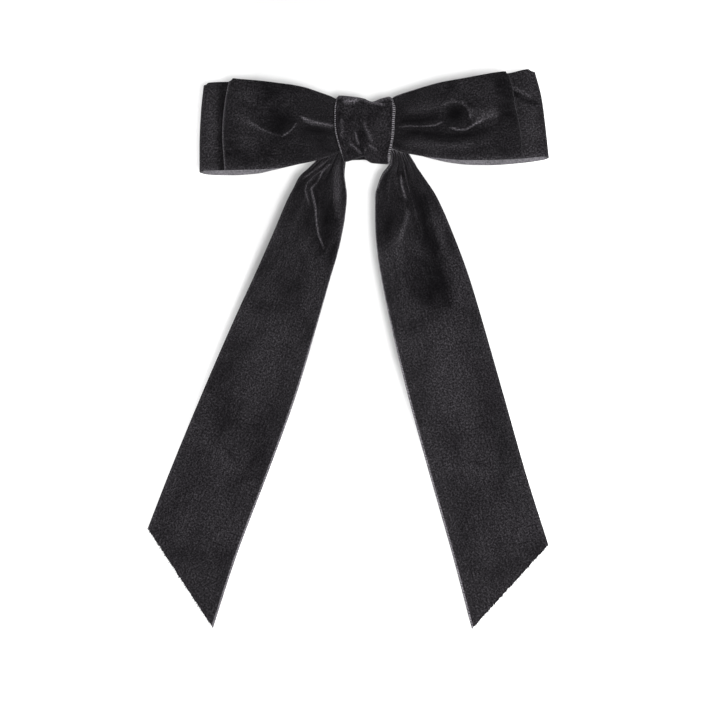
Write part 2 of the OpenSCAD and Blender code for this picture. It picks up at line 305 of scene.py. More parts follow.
class Finish:
    """A new material, or the world that is handed in, and the nodes in it."""

    def __init__(self, name, world=None):
        self.material = world or bpy.data.materials.new(name)
        self.material.use_nodes = True
        self.tree = self.material.node_tree
        self.tree.nodes.clear()

    def node(self, kind, settings=None, inputs=None, output=0):
        made = self.tree.nodes.new("ShaderNode" + kind)
        for key, value in (settings or {}).items():
            setattr(made, key, value)
        for key, value in (inputs or {}).items():
            socket = made.inputs[key]
            if isinstance(value, Value):
                self.tree.links.new(value.socket, socket)
            else:
                socket.default_value = value
        return Value(self, made.outputs[output]) if made.outputs else made

    def ramp(self, value, low, high):
        """value stretched so that low becomes 0 and high becomes 1, kept between them."""
        return self.node("MapRange", {"clamp": True}, {0: value, 1: low, 2: high, 3: 0.0, 4: 1.0})

    def blend(self, factor, a, b):
        """Colour a where factor is 0 and b where it is 1."""
        sides = {}
        for key, colour in ((6, a), (7, b)):
            sides[key] = colour if isinstance(colour, Value) else (*colour, 1.0)
        return self.node("Mix", {"data_type": "RGBA"}, {0: factor, **sides}, output=2)

    def bump(self, height, strength, distance, normal=None):
        inputs = {"Height": height, "Strength": strength, "Distance": distance}
        if normal is not None:
            inputs["Normal"] = normal
        return self.node("Bump", None, inputs)

    def noise(self, where, scale, detail=2.0, rough=0.5, distort=0.0):
        return self.node("TexNoise", None, {
            "Vector": where, "Scale": scale, "Detail": detail, "Roughness": rough, "Distortion": distort})

    def surface(self, inputs):
        shader = self.node("BsdfPrincipled", None, inputs)
        self.node("OutputMaterial", None, {"Surface": shader})
        return self.material


def scaled(finish, where, x, y, z=1.0):
    """Coordinates stretched by these shares."""
    return finish.node("Mapping", None, {"Vector": where, "Scale": (x, y, z)})


def velvet_pile(name, dark, light, patch_size, rim_light, bead):
    """Short black pile: speckled and brushed in soft patches, with a painted highlight where the pile
    attribute is above zero and painted shade where it is below.

    rim_light and bead are the tone and the fineness of the bound threads at the woven edge."""
    f = Finish(name)
    lay = f.node("UVMap", {"uv_map": "lay"})
    grain = f.ramp(f.noise(lay, 1.35, 2.0, 0.75), 0.34, 0.72)
    tufts = f.ramp(f.noise(lay, 2.9, 1.0, 0.6), 0.3, 0.75)
    speckle = (grain * 0.7 + tufts * 0.3) ** 2
    patch = f.noise(lay, 1 / patch_size, 3.0, 0.6, 0.6)
    streak = f.noise(scaled(f, lay, 0.09, 0.5), 1.0, 2.0, 0.6)
    brushing_and_painted_sheen = f.ramp(patch * 0.75 + streak * 0.25, 0.36, 0.66)
    pile = f.node("Attribute", {"attribute_name": "pile"}, None, 2)
    # painted shade: the pile attribute below zero darkens the tone; painted highlight: above zero it lightens
    # it
    shade = f.ramp(pile, -0.8, 0.0)
    lit = f.ramp(pile, 0.0, 1.0)
    tone = (brushing_and_painted_sheen + 0.25) * (speckle * 2.3 + 0.03) * (shade * 0.9 + 0.1) * 0.16
    painted_highlight = lit * (speckle * 2.2 + 0.15)
    pile_colour = f.blend(f.ramp(tone + painted_highlight, 0.0, 1.0), dark, light)
    rim = f.node("Attribute", {"attribute_name": "selvedge"}, None, 2)
    beads = f.node("TexWave", {"wave_type": "BANDS", "bands_direction": "X"}, {
        "Vector": lay, "Scale": bead, "Distortion": 2.6, "Detail": 1.0, "Detail Scale": 2.0}, 1)
    threads = f.ramp(beads * 0.65 + grain * 0.55, 0.4, 0.85)
    rim_colour = f.blend(threads, (0.012, 0.0115, 0.013), (rim_light, rim_light * 0.95, rim_light * 1.03))
    colour = f.blend(f.ramp(rim, 1.05, 0.75), pile_colour, rim_colour)
    bumpy = f.bump(grain * 0.6 + tufts * 0.4, 0.6, 0.0004)
    return f.surface({
        "Base Color": colour, "Roughness": 0.85, "Normal": bumpy, "Specular IOR Level": 0.03,
        "Sheen Weight": 0.09, "Sheen Roughness": 0.4, "Sheen Tint": (0.92, 0.88, 0.96, 1.0)})


def ribbon_back(name):
    """The wrong side of the ribbon: a fine flat weave in dark grey."""
    f = Finish(name)
    lay = f.node("UVMap", {"uv_map": "lay"})
    warp = f.node("TexWave", {"wave_type": "BANDS", "bands_direction": "Y"}, {
        "Vector": lay, "Scale": 0.75, "Distortion": 0.6, "Detail": 1.0, "Detail Scale": 2.0}, 1)
    weft = f.node("TexWave", {"wave_type": "BANDS", "bands_direction": "X"}, {
        "Vector": lay, "Scale": 0.95, "Distortion": 0.5, "Detail": 1.0, "Detail Scale": 2.0}, 1)
    cloudy = f.noise(lay, 0.12, 3.0, 0.55)
    flecks = f.noise(lay, 1.25, 2.0, 0.7)
    weave = warp * 0.5 + weft * 0.5
    tone = f.ramp(weave * 0.35 + flecks * 1.1 + cloudy * 0.3, 0.6, 1.15)
    colour = f.blend(tone, (0.03, 0.029, 0.033), (0.2, 0.19, 0.21))
    return f.surface({
        "Base Color": colour, "Roughness": 0.6, "Normal": f.bump(weave, 0.5, 0.00012),
        "Specular IOR Level": 0.3, "Sheen Weight": 0.1, "Sheen Roughness": 0.5})


def ribbon_edge(name, dark, light):
    """The rim of the ribbon: bound threads along the woven edge, broken ends at a cut."""
    f = Finish(name)
    lay = f.node("UVMap", {"uv_map": "lay"})
    threads = f.ramp(f.noise(scaled(f, lay, 2.6, 1.2), 1.0, 2.0, 0.6), 0.32, 0.68)
    colour = f.blend(threads, dark, light)
    return f.surface({
        "Base Color": colour, "Roughness": 0.75, "Normal": f.bump(threads, 0.6, 0.00015),
        "Specular IOR Level": 0.2, "Sheen Weight": 0.2, "Sheen Roughness": 0.4})


def twisted_thread(name, colour):
    """Sewing thread: two plies wound round each other, with a low shine."""
    f = Finish(name)
    where = f.node("TexCoord", None, None, "Object")
    plies = f.node("TexWave", {"wave_type": "BANDS", "bands_direction": "DIAGONAL"}, {
        "Vector": where, "Scale": 650.0, "Distortion": 0.4, "Detail": 1.0}, 1)
    hairs = f.noise(where, 5200.0, 2.0, 0.6)
    tone = f.ramp(plies * 0.7 + hairs * 0.3, 0.2, 0.8)
    shade = f.blend(tone, [c * 0.45 for c in colour], [c * 1.5 for c in colour])
    return f.surface({
        "Base Color": shade, "Roughness": 0.55, "Normal": f.bump(plies, 0.8, 0.0001),
        "Specular IOR Level": 0.35, "Sheen Weight": 0.25, "Sheen Roughness": 0.4})


def plated_steel(name, tint, rough, brush, bevel):
    """Nickel-plated pressed steel: fine brushed lines, faint clouds and handling marks."""
    f = Finish(name)
    where = f.node("TexCoord", None, None, "Object")
    lines = f.noise(scaled(f, where, 90.0, 2600.0, 2600.0), 1.0, 3.0, 0.6)
    cloud = f.noise(where, 160.0, 3.0, 0.55)
    marks = f.ramp(f.noise(scaled(f, where, 500.0, 500.0, 1500.0), 1.0, 2.0, 0.5, 1.5), 0.62, 0.72)
    tone = f.ramp(cloud * 0.6 + lines * 0.4, 0.3, 0.7)
    shade = f.blend(tone, [c * 0.82 for c in tint], tint)
    dull = f.blend(marks * 0.35, shade, (0.3, 0.29, 0.28))
    roughness = lines * brush + marks * 0.15 + (rough - brush / 2)
    rounded = f.node("Bevel", {"samples": 4}, {"Radius": bevel * MM})
    return f.surface({
        "Base Color": dull, "Metallic": 1.0, "Roughness": roughness,
        "Normal": f.bump(lines, 0.12, 0.00004, rounded)})


PILE = velvet_pile("velvet pile", (0.0016, 0.0014, 0.0018), (0.13, 0.122, 0.135), 13.0, 0.34, 0.5)
WRAP_PILE = velvet_pile("wrap pile", (0.0016, 0.0014, 0.0018), (0.14, 0.13, 0.145), 6.0, 0.21, 0.37)
BACK = ribbon_back("ribbon wrong side")
EDGE = ribbon_edge("ribbon rim", (0.006, 0.0056, 0.0065), (0.05, 0.048, 0.053))
WRAP_RIM = ribbon_edge("wrap rim", (0.012, 0.0115, 0.013), (0.09, 0.087, 0.093))
THREAD = twisted_thread("black sewing thread", (0.02, 0.02, 0.022))
FIBRE = twisted_thread("frayed fibre", (0.045, 0.043, 0.048))
CLIP_STEEL = plated_steel("plated clip steel", (0.66, 0.65, 0.63), 0.34, 0.16, 0.12)
SPRING_STEEL = plated_steel("plated spring steel", (0.7, 0.69, 0.67), 0.27, 0.14, 0.07)
PIN_STEEL = plated_steel("bright pin steel", (0.75, 0.74, 0.72), 0.2, 0.08, 0.08)
RIBBON = [PILE, BACK, EDGE]
WRAP_RIBBON = [WRAP_PILE, BACK, WRAP_RIM]


# ---------------------------------------------------------------- loops
class Lobe:
    """One side of a ribbon loop. Outlines are drawn on the tails' plane, x counted outwards.

    top and bottom are the front wall's edges and low_edge the back wall's lower edge, each
    over x; reach is how far the end fold stands out, over v from 0 at the bottom."""

    # the fold's value paints a highlight along the end fold (shade below zero); the sheen value paints a
    # lighter tone over the whole lobe
    def __init__(self, side, top, bottom, low_edge, reach, painted_fold_light, brushing_and_painted_sheen=0.0, features=()):
        self.side = side
        self.brushing_and_painted_sheen = brushing_and_painted_sheen
        self.painted_fold_light = painted_fold_light
        self.top = through(*top)
        self.bottom = through(*bottom)
        self.low_edge = through(*low_edge)
        self.reach = through(*reach)
        self.features = features


class Ring:
    """A closed ring of ribbon: the depth of its walls at the gather, fullest, and fold."""

    def __init__(self, gather, full, fold, fold_r, left, right, full_share):
        self.gather = gather
        self.full = full
        self.fold = fold
        self.fold_r = fold_r
        self.lobes = {-1: left, 1: right}
        self.full_share = full_share

    def wall(self, front, share):
        """Depth of a wall at a share of its way from the knot to the end fold."""
        i = 0 if front else 1
        fold = self.fold + (-self.fold_r if front else self.fold_r)
        start = 0.07
        if share < self.full_share:
            swell = (share - start) / (self.full_share - start)
            return mix(self.gather[i], self.full[i], smooth(swell))
        return mix(self.full[i], fold, smooth((share - self.full_share) / (1 - self.full_share)))


def ring_stations(front_steps, back_steps):
    """The stations round a ring: (side, part, share) from the front middle, rightwards."""
    stations = []
    for side in (1, -1):
        out = [(side, "front", i / front_steps) for i in range(front_steps)]
        turn = [(side, "fold", (i + 0.5) / FOLD_STEPS) for i in range(FOLD_STEPS)]
        home = [(side, "back", 1 - i / back_steps) for i in range(1, back_steps + 1)]
        way = out + turn + home
        stations += way if side == 1 else way[::-1]
    return stations


def ring_point(ring, side, part, share, v):
    """A point of a ring's pile face, its place in the front outline, and the painted light on its pile."""
    lobe = ring.lobes[side]
    reach = lobe.reach(v)
    bend_x = reach - ring.fold_r
    if part == "fold":
        angle = math.pi * share
        x = bend_x + ring.fold_r * math.sin(angle)
        y = ring.fold - ring.fold_r * math.cos(angle)
        behind = share
    else:
        x = mix(KNOT_X, bend_x, share)
        y = ring.wall(part == "front", share)
        behind = 0.0 if part == "front" else 1.0
    bottom = mix(lobe.bottom(x), lobe.low_edge(x), behind)
    top = lobe.top(x) - 0.9 * behind * smooth((x - 30) / 20)
    z = mix(bottom, top, v)
    beside = x - WRAP_EDGE
    across = 2 * v - 1
    pleat = 0.4 * math.exp(-max(beside, 0) / 9) * math.cos(9 * math.pi * v + side)
    crown = 1.5 * math.exp(-max(beside, 0) / 16) * (1 - across * across) * smooth(beside / 7)
    light = 0.0
    if part == "front" or (part == "fold" and share < 0.3):
        push, light = pressed(lobe.features, side * x, z)
        y -= (push + pleat) * smooth(0.2 + beside / 3) + crown
    else:
        y += pleat * 0.3
    # painted sheen: the whole lobe is lifted to a lighter tone, most on the rear lobes
    light += lobe.brushing_and_painted_sheen
    # painted highlight in a band along the lower rim of the front wall and the fold
    if part != "back":
        light += 0.15 * math.exp(-(v * LOOP_W / 1.5) ** 2)
    # painted highlight along the end fold, painted shade where the fold's value is below zero
    if part == "fold":
        light += lobe.painted_fold_light * math.exp(-((share - 0.44) / 0.13) ** 2)
    return at_depth(side * x, z, y), light


def ribbon_ring(name, ring, front_steps, back_steps, columns):
    """A closed ring of ribbon, gathered at its middle and open at both lobes."""
    stations = ring_stations(front_steps, back_steps)
    count = len(stations)
    walk = [0.0]
    middles = [ring_point(ring, *stations[i % count], 0.5)[0] for i in range(count + 1)]
    for a, b in zip(middles, middles[1:]):
        walk.append(walk[-1] + (b - a).length)

    def place(u, v):
        i = round(u * count)
        spot, light = ring_point(ring, *stations[i % count], v)
        return spot, (walk[i], v * LOOP_W, NO_SELVEDGE), light

    made = cloth_strip(name, count, columns, place, RIBBON, closed=True)
    return made, walk[-1]


LEFT_FRONT = Lobe(
    -1,
    top=((8, 10.2), (11.4, 13.1), (12.5, 13.9), (19, 16.3), (25.5, 18.4), (32, 19.6), (42, 20.9), (52, 21.8),
         (54.1, 22.0), (54.5, 21.2), (55.6, 21.0)),
    bottom=((8, -7.0), (11.5, -8.5), (16, -10.1), (20.7, -11.5), (28.7, -13.1), (35, -14.3), (43.7, -14.9),
            (58, -15.2)),
    low_edge=((8, -5.6), (22, -11.4), (35, -13.9), (58, -14.8)),
    reach=((0, 57.2), (0.15, 57.6), (0.4, 58.1), (0.55, 57.9), (0.8, 56.9), (1, 55.5)),
    painted_fold_light=1.1,
    # light above zero paints highlights along ridges and on humps; below zero it paints shade in hollows and
    # beside folds
    features=[
        Crease([(-12.8, 2.6), (-16.5, 3.4), (-22, 4.5), (-26.9, 6.6)], 1.1, 1.1, 1.0, 0.34),
        Crease([(-13, 1.6), (-22, 3.4), (-26, 5.2)], 0.9, -0.2, 0.35, 0.7),
        Crease([(-27.6, 4.2), (-30.4, 0.8), (-33.9, -1.6)], 1.2, 0.9, 0.85, 0.3),
        Crease([(-33.4, -1.6), (-38, -0.4), (-43, 1.6), (-48.5, 5.0)], 1.6, 0.6, 0.3, 0.6),
        Crease([(-13, -0.2), (-22, 0.8), (-28, 2.0)], 1.6, -1.0, -0.45, 2.2),
        Crease([(-12.8, 8.0), (-24, 11.5), (-33, 13.0)], 3.0, 0.7),
        Crease([(-12.8, -4.5), (-24, -6.5), (-36, -7.5)], 3.2, 0.8, -0.2, 3.5),
        Dent(-33.5, 4.6, 5.6, 4.2, -2.6, -0.7, 20),
        Dent(-48, 4.4, 5.0, 2.6, 0.3, 0.13, -25),
        Dent(-32.5, 10.6, 2.6, 1.3, 0.4, 0.16, 45),
        Dent(-48, -4.6, 4.0, 3.0, 0.2, 0.07, -40),
        Dent(-49, 15.0, 5.0, 2.6, 0.2, 0.06, 10),
    ])
RIGHT_FRONT = Lobe(
    1,
    top=((8, 10.6), (11.4, 14.3), (13.3, 15.1), (19.8, 17.2), (26.3, 19.2), (32.7, 20.8), (39.2, 22.0),
         (45.7, 23.2), (52, 24.3), (56.6, 24.8), (57.0, 23.8), (58.2, 23.4)),
    bottom=((8, -5.4), (11, -6.6), (14, -7.7), (17.5, -8.6), (27, -10.1), (41, -11.1), (52, -11.0),
            (63.4, -10.4)),
    low_edge=((8, -6.4), (17.5, -8.2), (27, -9.7), (41, -10.6), (63.4, -10.0)),
    reach=((0, 63.5), (0.22, 63.0), (0.4, 62.2), (0.58, 61.0), (0.7, 60.2), (0.82, 59.6), (1, 58.2)),
    painted_fold_light=-0.3,
    brushing_and_painted_sheen=0.015,
    # light above zero paints highlights along ridges and on humps; below zero it paints shade in hollows and
    # beside folds
    features=[
        Crease([(13.4, 2.2), (16, 2.6), (24, 2.6), (28, 3.0), (31.4, 4.6)], 1.0, 0.8, 0.6, 0.32),
        Crease([(33.4, 2.4), (37.4, 1.0), (40.6, 1.3), (44, 3.4), (47.4, 5.2)], 1.3, 1.0, 0.75, 0.34),
        Crease([(44, 4.2), (48.5, 6.4), (53.5, 7.6)], 1.4, 0.4, 0.28, 1.3),
        Crease([(30.5, 10.4), (34.8, 12.4), (39.2, 11.8), (42.2, 8.6), (42.2, 5.0)], 1.3, 0.9, 0.3, 1.0),
        Crease([(13, 4.5), (22, 4.6), (30, 6.6)], 1.5, -0.7, -0.6, 1.5),
        Crease([(13, -0.1), (22, -0.2), (34, -1.6), (44, -0.6), (52, 2.2)], 1.8, -1.1, -0.55, 1.7),
        Crease([(16, 8.4), (24, 9.8), (31, 11.0)], 1.9, 0.2, 0.1, 2.0),
        Crease([(12.8, 9.5), (26, 13.0), (42, 16.0)], 3.2, 0.7),
        Crease([(15, -4.6), (28, -5.2), (44, -4.6)], 2.4, 0.9, 0.14, 2.2),
        Dent(36.0, 7.2, 4.4, 3.5, -2.9, -0.95, 14),
        Dent(44.0, 8.0, 3.4, 2.6, 0.3, 0.16, 20),
        Dent(51.0, 9.2, 4.6, 1.9, 0.3, 0.1, 20),
        Dent(58, 10, 3.4, 8, -0.1, -0.35, 0),
    ])
LEFT_REAR = Lobe(
    -1,
    top=((8, 9.8), (25, 16.6), (40, 19.6), (56, 20.5), (63.8, 20.2), (64.2, 19.6), (65.6, 19.4)),
    bottom=((8, -5.4), (22, -11.0), (35, -13.6), (44, -14.5), (55, -15.1), (67, -15.4)),
    low_edge=((8, -5.6), (22, -11.4), (30, -13.5), (37, -15.1), (44, -16.6), (54, -17.3), (61, -17.2),
              (67, -16.6)),
    reach=((0, 67.3), (0.3, 67.3), (0.7, 66.7), (1, 65.6)),
    painted_fold_light=0.2,
    brushing_and_painted_sheen=0.09,
    # the second dent paints a narrow band of shade beside the front loop's fold, with no hollow under it; the
    # first paints a faint highlight
    features=[Dent(-62.5, 3, 2.4, 12, 0.5, 0.05), Dent(-57.6, 2, 1.5, 26, 0.0, -0.7)])
RIGHT_REAR = Lobe(
    1,
    top=((8, 10.2), (25, 18.0), (42, 22.0), (58.2, 24.1), (66.1, 25.7), (66.5, 25.0), (68.4, 24.8)),
    bottom=((8, -6.2), (20, -8.4), (40, -10.8), (52, -11.0), (62.5, -10.5), (74, -9.4)),
    low_edge=((8, -6.4), (20, -8.8), (27, -10.7), (36, -12.5), (43, -13.1), (50, -13.2), (62.5, -12.4),
              (74, -10.8)),
    reach=((0, 74.0), (0.35, 72.7), (0.7, 71.1), (1, 68.4)),
    painted_fold_light=0.2,
    brushing_and_painted_sheen=0.09,
    # light above zero paints highlights along ridges and on humps; below zero it paints shade in hollows and
    # beside folds
    features=[
        Crease([(58.5, 16.8), (61.5, 15.2), (64.5, 13.0), (69.5, 11.8)], 1.1, -1.0, -0.2, 1.0),
        Crease([(58.5, 18.4), (62.5, 16.6), (67, 14.4)], 1.2, 0.7, 0.25, 0.9),
        Dent(67, 3, 3.0, 9, 0.4, 0.08),
    ])

THREAD_MID = (THREAD_LOW.y + THREAD_HIGH.y) / 2
FRONT_RING = Ring(
    gather=(THREAD_LOW.y + 0.1, THREAD_MID - 0.15), full=(FRONT_LOW.y + 0.6, REAR_LOW.y - 0.35),
    fold=REAR_LOW.y - 2.5, fold_r=2.0, left=LEFT_FRONT, right=RIGHT_FRONT, full_share=0.5)
REAR_RING = Ring(
    gather=(THREAD_MID + 0.15, THREAD_HIGH.y - 0.1), full=(REAR_LOW.y + 0.1, REAR_HIGH.y - 0.05),
    fold=REAR_HIGH.y - 3.2, fold_r=2.0, left=LEFT_REAR, right=RIGHT_REAR, full_share=0.5)

front_loop, front_length = ribbon_ring("front_ribbon_loop", FRONT_RING, 92, 58, 62)
rear_loop, rear_length = ribbon_ring("rear_ribbon_loop", REAR_RING, 84, 58, 56)


# ---------------------------------------------------------------- tails
class Tail:
    """A long tail: its two edges over z on the tails' plane, and where its cut ends."""

    def __init__(self, side, left_edge, right_edge, left_end, right_end, features, pleats):
        self.side = side
        self.left_edge = through(*[(-z, x) for z, x in left_edge])
        self.right_edge = through(*[(-z, x) for z, x in right_edge])
        self.left_end = left_end
        self.right_end = right_end
        self.features = features
        self.pleats = pleats


ROOT_TOP = 3.0  # the gathered roots end here, behind the loops
LAY_START = 20.0  # flat place along a tail that lies level with the middle of the clip
LEFT_TAIL = Tail(
    -1,
    left_edge=((4, -8.4), (0, -11), (-5, -14.6), (-8.5, -16.6), (-11.6, -20.1), (-14.5, -23.4),
               (-17.8, -26.9), (-22.4, -29.3), (-25.7, -31.1), (-41.8, -38), (-58, -45.2), (-74.1, -52.6),
               (-106.5, -66.7), (-138.8, -80), (-160, -88.2)),
    right_edge=((4, -0.8), (0, -2.2), (-5, -5.4), (-10, -8.6), (-16, -8.9), (-25.7, -7.8), (-33.7, -8.4),
                (-41.8, -9.8), (-49.9, -11.7), (-58, -14.1), (-74.1, -18.7), (-106.5, -28.3),
                (-138.8, -40), (-171.1, -52.3), (-200.3, -61.8)),
    left_end=-160.0, right_end=-200.3, pleats=4,
    # light above zero paints highlights along ridges and on humps; below zero it paints shade in hollows and
    # beside folds
    features=[
        Crease([(-12.6, -9.2), (-20, -14.6), (-25.4, -18.6)], 0.9, 0.8, 0.55, 0.32),
        Crease([(-13.6, -12.2), (-20.2, -17.1), (-24, -20.6), (-24.5, -23.4), (-22.8, -29.5)],
               0.9, 0.8, 0.4, 0.34),
        Crease([(-14.5, -12.6), (-17.8, -16.2), (-19.5, -20.0), (-22.1, -22.6), (-20.5, -29.5),
                (-19.9, -36), (-19.2, -41), (-16.9, -46.9)], 1.1, 1.1, 0.75, 0.36),
        Crease([(-15.5, -17), (-18.2, -23), (-17.2, -32), (-16.4, -42)], 1.9, -1.1),
        Crease([(-11.4, -11.5), (-11.6, -22), (-12.8, -36)], 2.2, 0.9, 0.2, 1.6),
        Crease([(-22.6, -25), (-24.6, -36), (-26.5, -52)], 2.6, -0.7),
        Crease([(-28, -24), (-33.5, -42), (-40, -58)], 2.6, 0.5),
        Dent(-15.6, -36, 3.0, 8, -0.7, -0.6),
        Dent(-19.0, -21, 2.2, 3, -0.3, -0.4),
        Dent(-11, -24, 1.6, 12, 0.3, 0.1),
        Dent(-9.7, -38, 1.2, 9, 0.0, 0.12),
        Dent(-36, -92, 14, 22, 0.7, 0.04, 20),
        Dent(-48, -128, 9, 26, -0.6, -0.04, 22),
    ])
RIGHT_TAIL = Tail(
    1,
    left_edge=((4, 0.8), (0, 3.4), (-5, 8.4), (-9, 10.6), (-12.7, 10.2), (-14.6, 9.0), (-16.8, 7.1),
               (-21, 5.2), (-25.7, 3.8), (-33.7, 3.7), (-41.8, 4.0), (-49.9, 4.8), (-58, 6.1), (-74.1, 9.3),
               (-106.5, 17), (-138.8, 25.9), (-171.1, 35.1), (-200.6, 42.8)),
    right_edge=((4, 8.2), (0, 11.2), (-5, 15.0), (-9.5, 17.6), (-16.8, 22.6), (-25.7, 28.5),
                (-41.8, 35.6), (-58, 41.6), (-74.1, 46.5), (-106.5, 55.8), (-138.8, 65), (-166.6, 73.8)),
    left_end=-200.6, right_end=-166.6, pleats=4,
    # light above zero paints highlights along ridges and on humps; below zero it paints shade in hollows and
    # beside folds
    features=[
        Crease([(11.6, -8), (11.9, -16.4), (12.2, -22)], 1.1, 0.9, 0.12, 0.8),
        Crease([(12.6, -8), (14.0, -16)], 0.9, 0.6, 0.12, 0.5),
        Crease([(14.1, -17.4), (14.6, -21.5), (16.1, -26.6)], 0.9, 0.9, 0.75, 0.34),
        Crease([(15.0, -11), (16.2, -18), (17.6, -23.5), (19.6, -30.4), (22.2, -39), (23.6, -44.3)],
               0.9, 0.7, 0.36, 0.32),
        Crease([(17.3, -30.6), (15.9, -36.7), (13.2, -44.3)], 1.3, 0.8, 0.26, 0.8),
        Crease([(15.2, -37), (13.4, -46), (13.6, -54)], 2.4, 0.4, 0.08, 2.6),
        Crease([(18.4, -19), (22.3, -31), (25.4, -43), (31, -60), (33, -68)], 2.1, -0.9, -0.6, 2.4),
        Crease([(18.0, -12.5), (22.2, -22.5), (27.7, -37.4), (31, -48)], 2.6, 0.8, 0.1, 2.6),
        Crease([(6.2, -22), (7.2, -38), (10.4, -60)], 2.0, 0.6, 0.02, 1.5),
        Dent(9.2, -36.5, 3.0, 6.2, -0.6, -0.6, -20),
        Dent(24.5, -59, 5.2, 8.5, -0.3, -0.4, 25),
        Dent(30, -100, 13, 24, 0.6, 0.05, -16),
        Dent(48, -142, 9, 24, -0.6, -0.04, -16),
    ])


def edge_length(edge, end, steps=60):
    """Length of a tail's edge along its curve, from the gathered root to the cut."""
    levels = [mix(ROOT_TOP, end, i / steps) for i in range(steps + 1)]
    spots = [(edge(-z), z) for z in levels]
    return sum(math.dist(a, b) for a, b in zip(spots, spots[1:]))


def tail_ribbon(name, tail, rows, columns):
    """A tail with its gathered root."""
    long_end = min(tail.left_end, tail.right_end)
    short_end = max(tail.left_end, tail.right_end)
    lean = math.atan2(
        (tail.left_edge(58) + tail.right_edge(58)) / 2 - (tail.left_edge(138) + tail.right_edge(138)) / 2,
        80)
    down = Vector((-math.sin(lean), 0, -math.cos(lean)))
    level_gap = TAIL_W * abs(math.sin(lean))  # how much lower the inner edge is, straight across
    draw = random.Random(11 + tail.side)
    ragged = [draw.uniform(-0.32, 0.28) for _ in range(columns + 1)]

    def place(u, v):
        t = mix(u, u ** 1.5, 0.55)
        inner_z = mix(ROOT_TOP, long_end, t)
        square = level_gap * smooth((t - 0.02) / 0.4)
        cut = (short_end - long_end - level_gap) * smooth((t - 0.5) / 0.5)
        outer_z = inner_z + square + cut
        left_z, right_z = (outer_z, inner_z) if tail.side < 0 else (inner_z, outer_z)
        a = Vector((tail.left_edge(-left_z), 0, left_z))
        b = Vector((tail.right_edge(-right_z), 0, right_z))
        spot = a.lerp(b, v)
        x, z = spot.x, spot.z
        depth = max(-z - 4, 0)
        tight = math.exp(-(depth / 19) ** 1.4)
        inside = smooth((z + 13.5) / 5)
        pleat = mix(1.05 * tight, 0.55, inside) * math.cos(2 * math.pi * tail.pleats * v + 0.6 * tail.side)
        push, light = pressed(tail.features, x, z)
        push *= 1 - inside
        wave = 0.35 * math.sin(x * 0.11 + z * 0.035) * smooth((depth - 25) / 40)
        y = FLAT_Y - 0.45 - push - pleat - wave
        ridge = max(0.0, math.cos(2 * math.pi * tail.pleats * v + 0.6 * tail.side)) ** 8
        rim_gap = min(v, 1 - v) * TAIL_W
        # painted highlight on the pleat ridges near the knot and along both rims; painted shade near the knot
        light += 0.22 * tight * ridge - 0.2 * tight + 0.13 * math.exp(-(rim_gap / 1.1) ** 2)
        # painted sheen: each tail lifted to a lighter tone, more lower down
        light += (0.05 if tail.side < 0 else 0.07) + 0.03 * smooth((depth - 60) / 80)
        z += ragged[round(v * columns)] * smooth((t - 0.994) / 0.006)
        inner_gap = (1 - v if tail.side < 0 else v) * TAIL_W
        woven = mix(0.3, SELVEDGE, smooth((depth - 40) / 70))
        lay = (spot.dot(down) + LAY_START, v * TAIL_W, inner_gap / woven)
        return at_depth(x, z, y), lay, light * (1 - inside)

    return cloth_strip(name, rows, columns, place, RIBBON)


left_tail = tail_ribbon("left_ribbon_tail", LEFT_TAIL, 250, 60)
right_tail = tail_ribbon("right_ribbon_tail", RIGHT_TAIL, 250, 60)


# ---------------------------------------------------------------- centre wrap
WRAP_TOP = through((-12.4, 13.4), (-10.7, 15.0), (-6.7, 14.7), (-1.2, 13.9), (2.5, 12.5), (6, 13.7),
                   (9.5, 14.5), (11.2, 13.4))
WRAP_BOTTOM = through((-9.8, -10.2), (-8.7, -11.9), (-3.4, -10.5), (-0.8, -9.7), (0.6, -11.4), (2.5, -12.4),
                      (8.8, -12.9))
WRAP_LEFT = through((-13, -9.3), (-9.9, -10.2), (-5.5, -11.3), (0, -12.4), (4, -12.7),
                    (9, -12.6), (14, -11.9))
WRAP_RIGHT = through((-13, 9.6), (-9.7, 9.7), (-6, 10.5), (-0.5, 11.4), (4, 11.6), (9, 11.9), (14, 10.8))
# the light of these creases and dents paints highlights along the wrap's ridges and shade in its hollows
WRAP_FEATURES = [
    Crease([(-4.4, 0.4), (-3.7, -2.7), (-2.9, -5)], 0.6, 0.55, 0.5, 0.45),
    Crease([(-6.6, -4.2), (-3.6, -6.8), (-1.6, -8.6)], 0.7, 0.5, 0.4, 0.5),
    Crease([(-0.6, 5), (-0.2, 2.4), (1.2, -0.6), (2.6, -3.6)], 0.8, 0.5, 0.3, 0.6),
    Crease([(1.2, -5), (3.4, -6.4), (4.6, -7.6)], 0.7, 0.4, 0.3, 0.5),
    Crease([(-0.1, -6), (-0.5, -8.6)], 0.6, -0.7, 0.35, 0.35),
    Crease([(-2, 1.5), (-1.4, -3), (-0.8, -9.4)], 1.0, -0.9, -0.1, 0.8),
    Crease([(2.5, 12.4), (5, 11.8), (7.6, 11.2)], 0.7, 0.6, 0.6, 0.5),
    Crease([(-9.8, 6), (-9.6, 0), (-9.9, -2.6)], 0.8, 0.3, 0.25, 0.6),
    Crease([(-9.2, 12.6), (-5.2, 12.9), (-3.0, 13.4)], 0.9, 0.3, 0.7, 0.9),
    Dent(4.5, -9.8, 4.6, 2.6, 0.9, 0.05),
    Dent(-5, 7, 5.5, 5, 0.5, 0.0),
    Dent(6.5, 2, 4, 7, 0.3, 0.08),
]


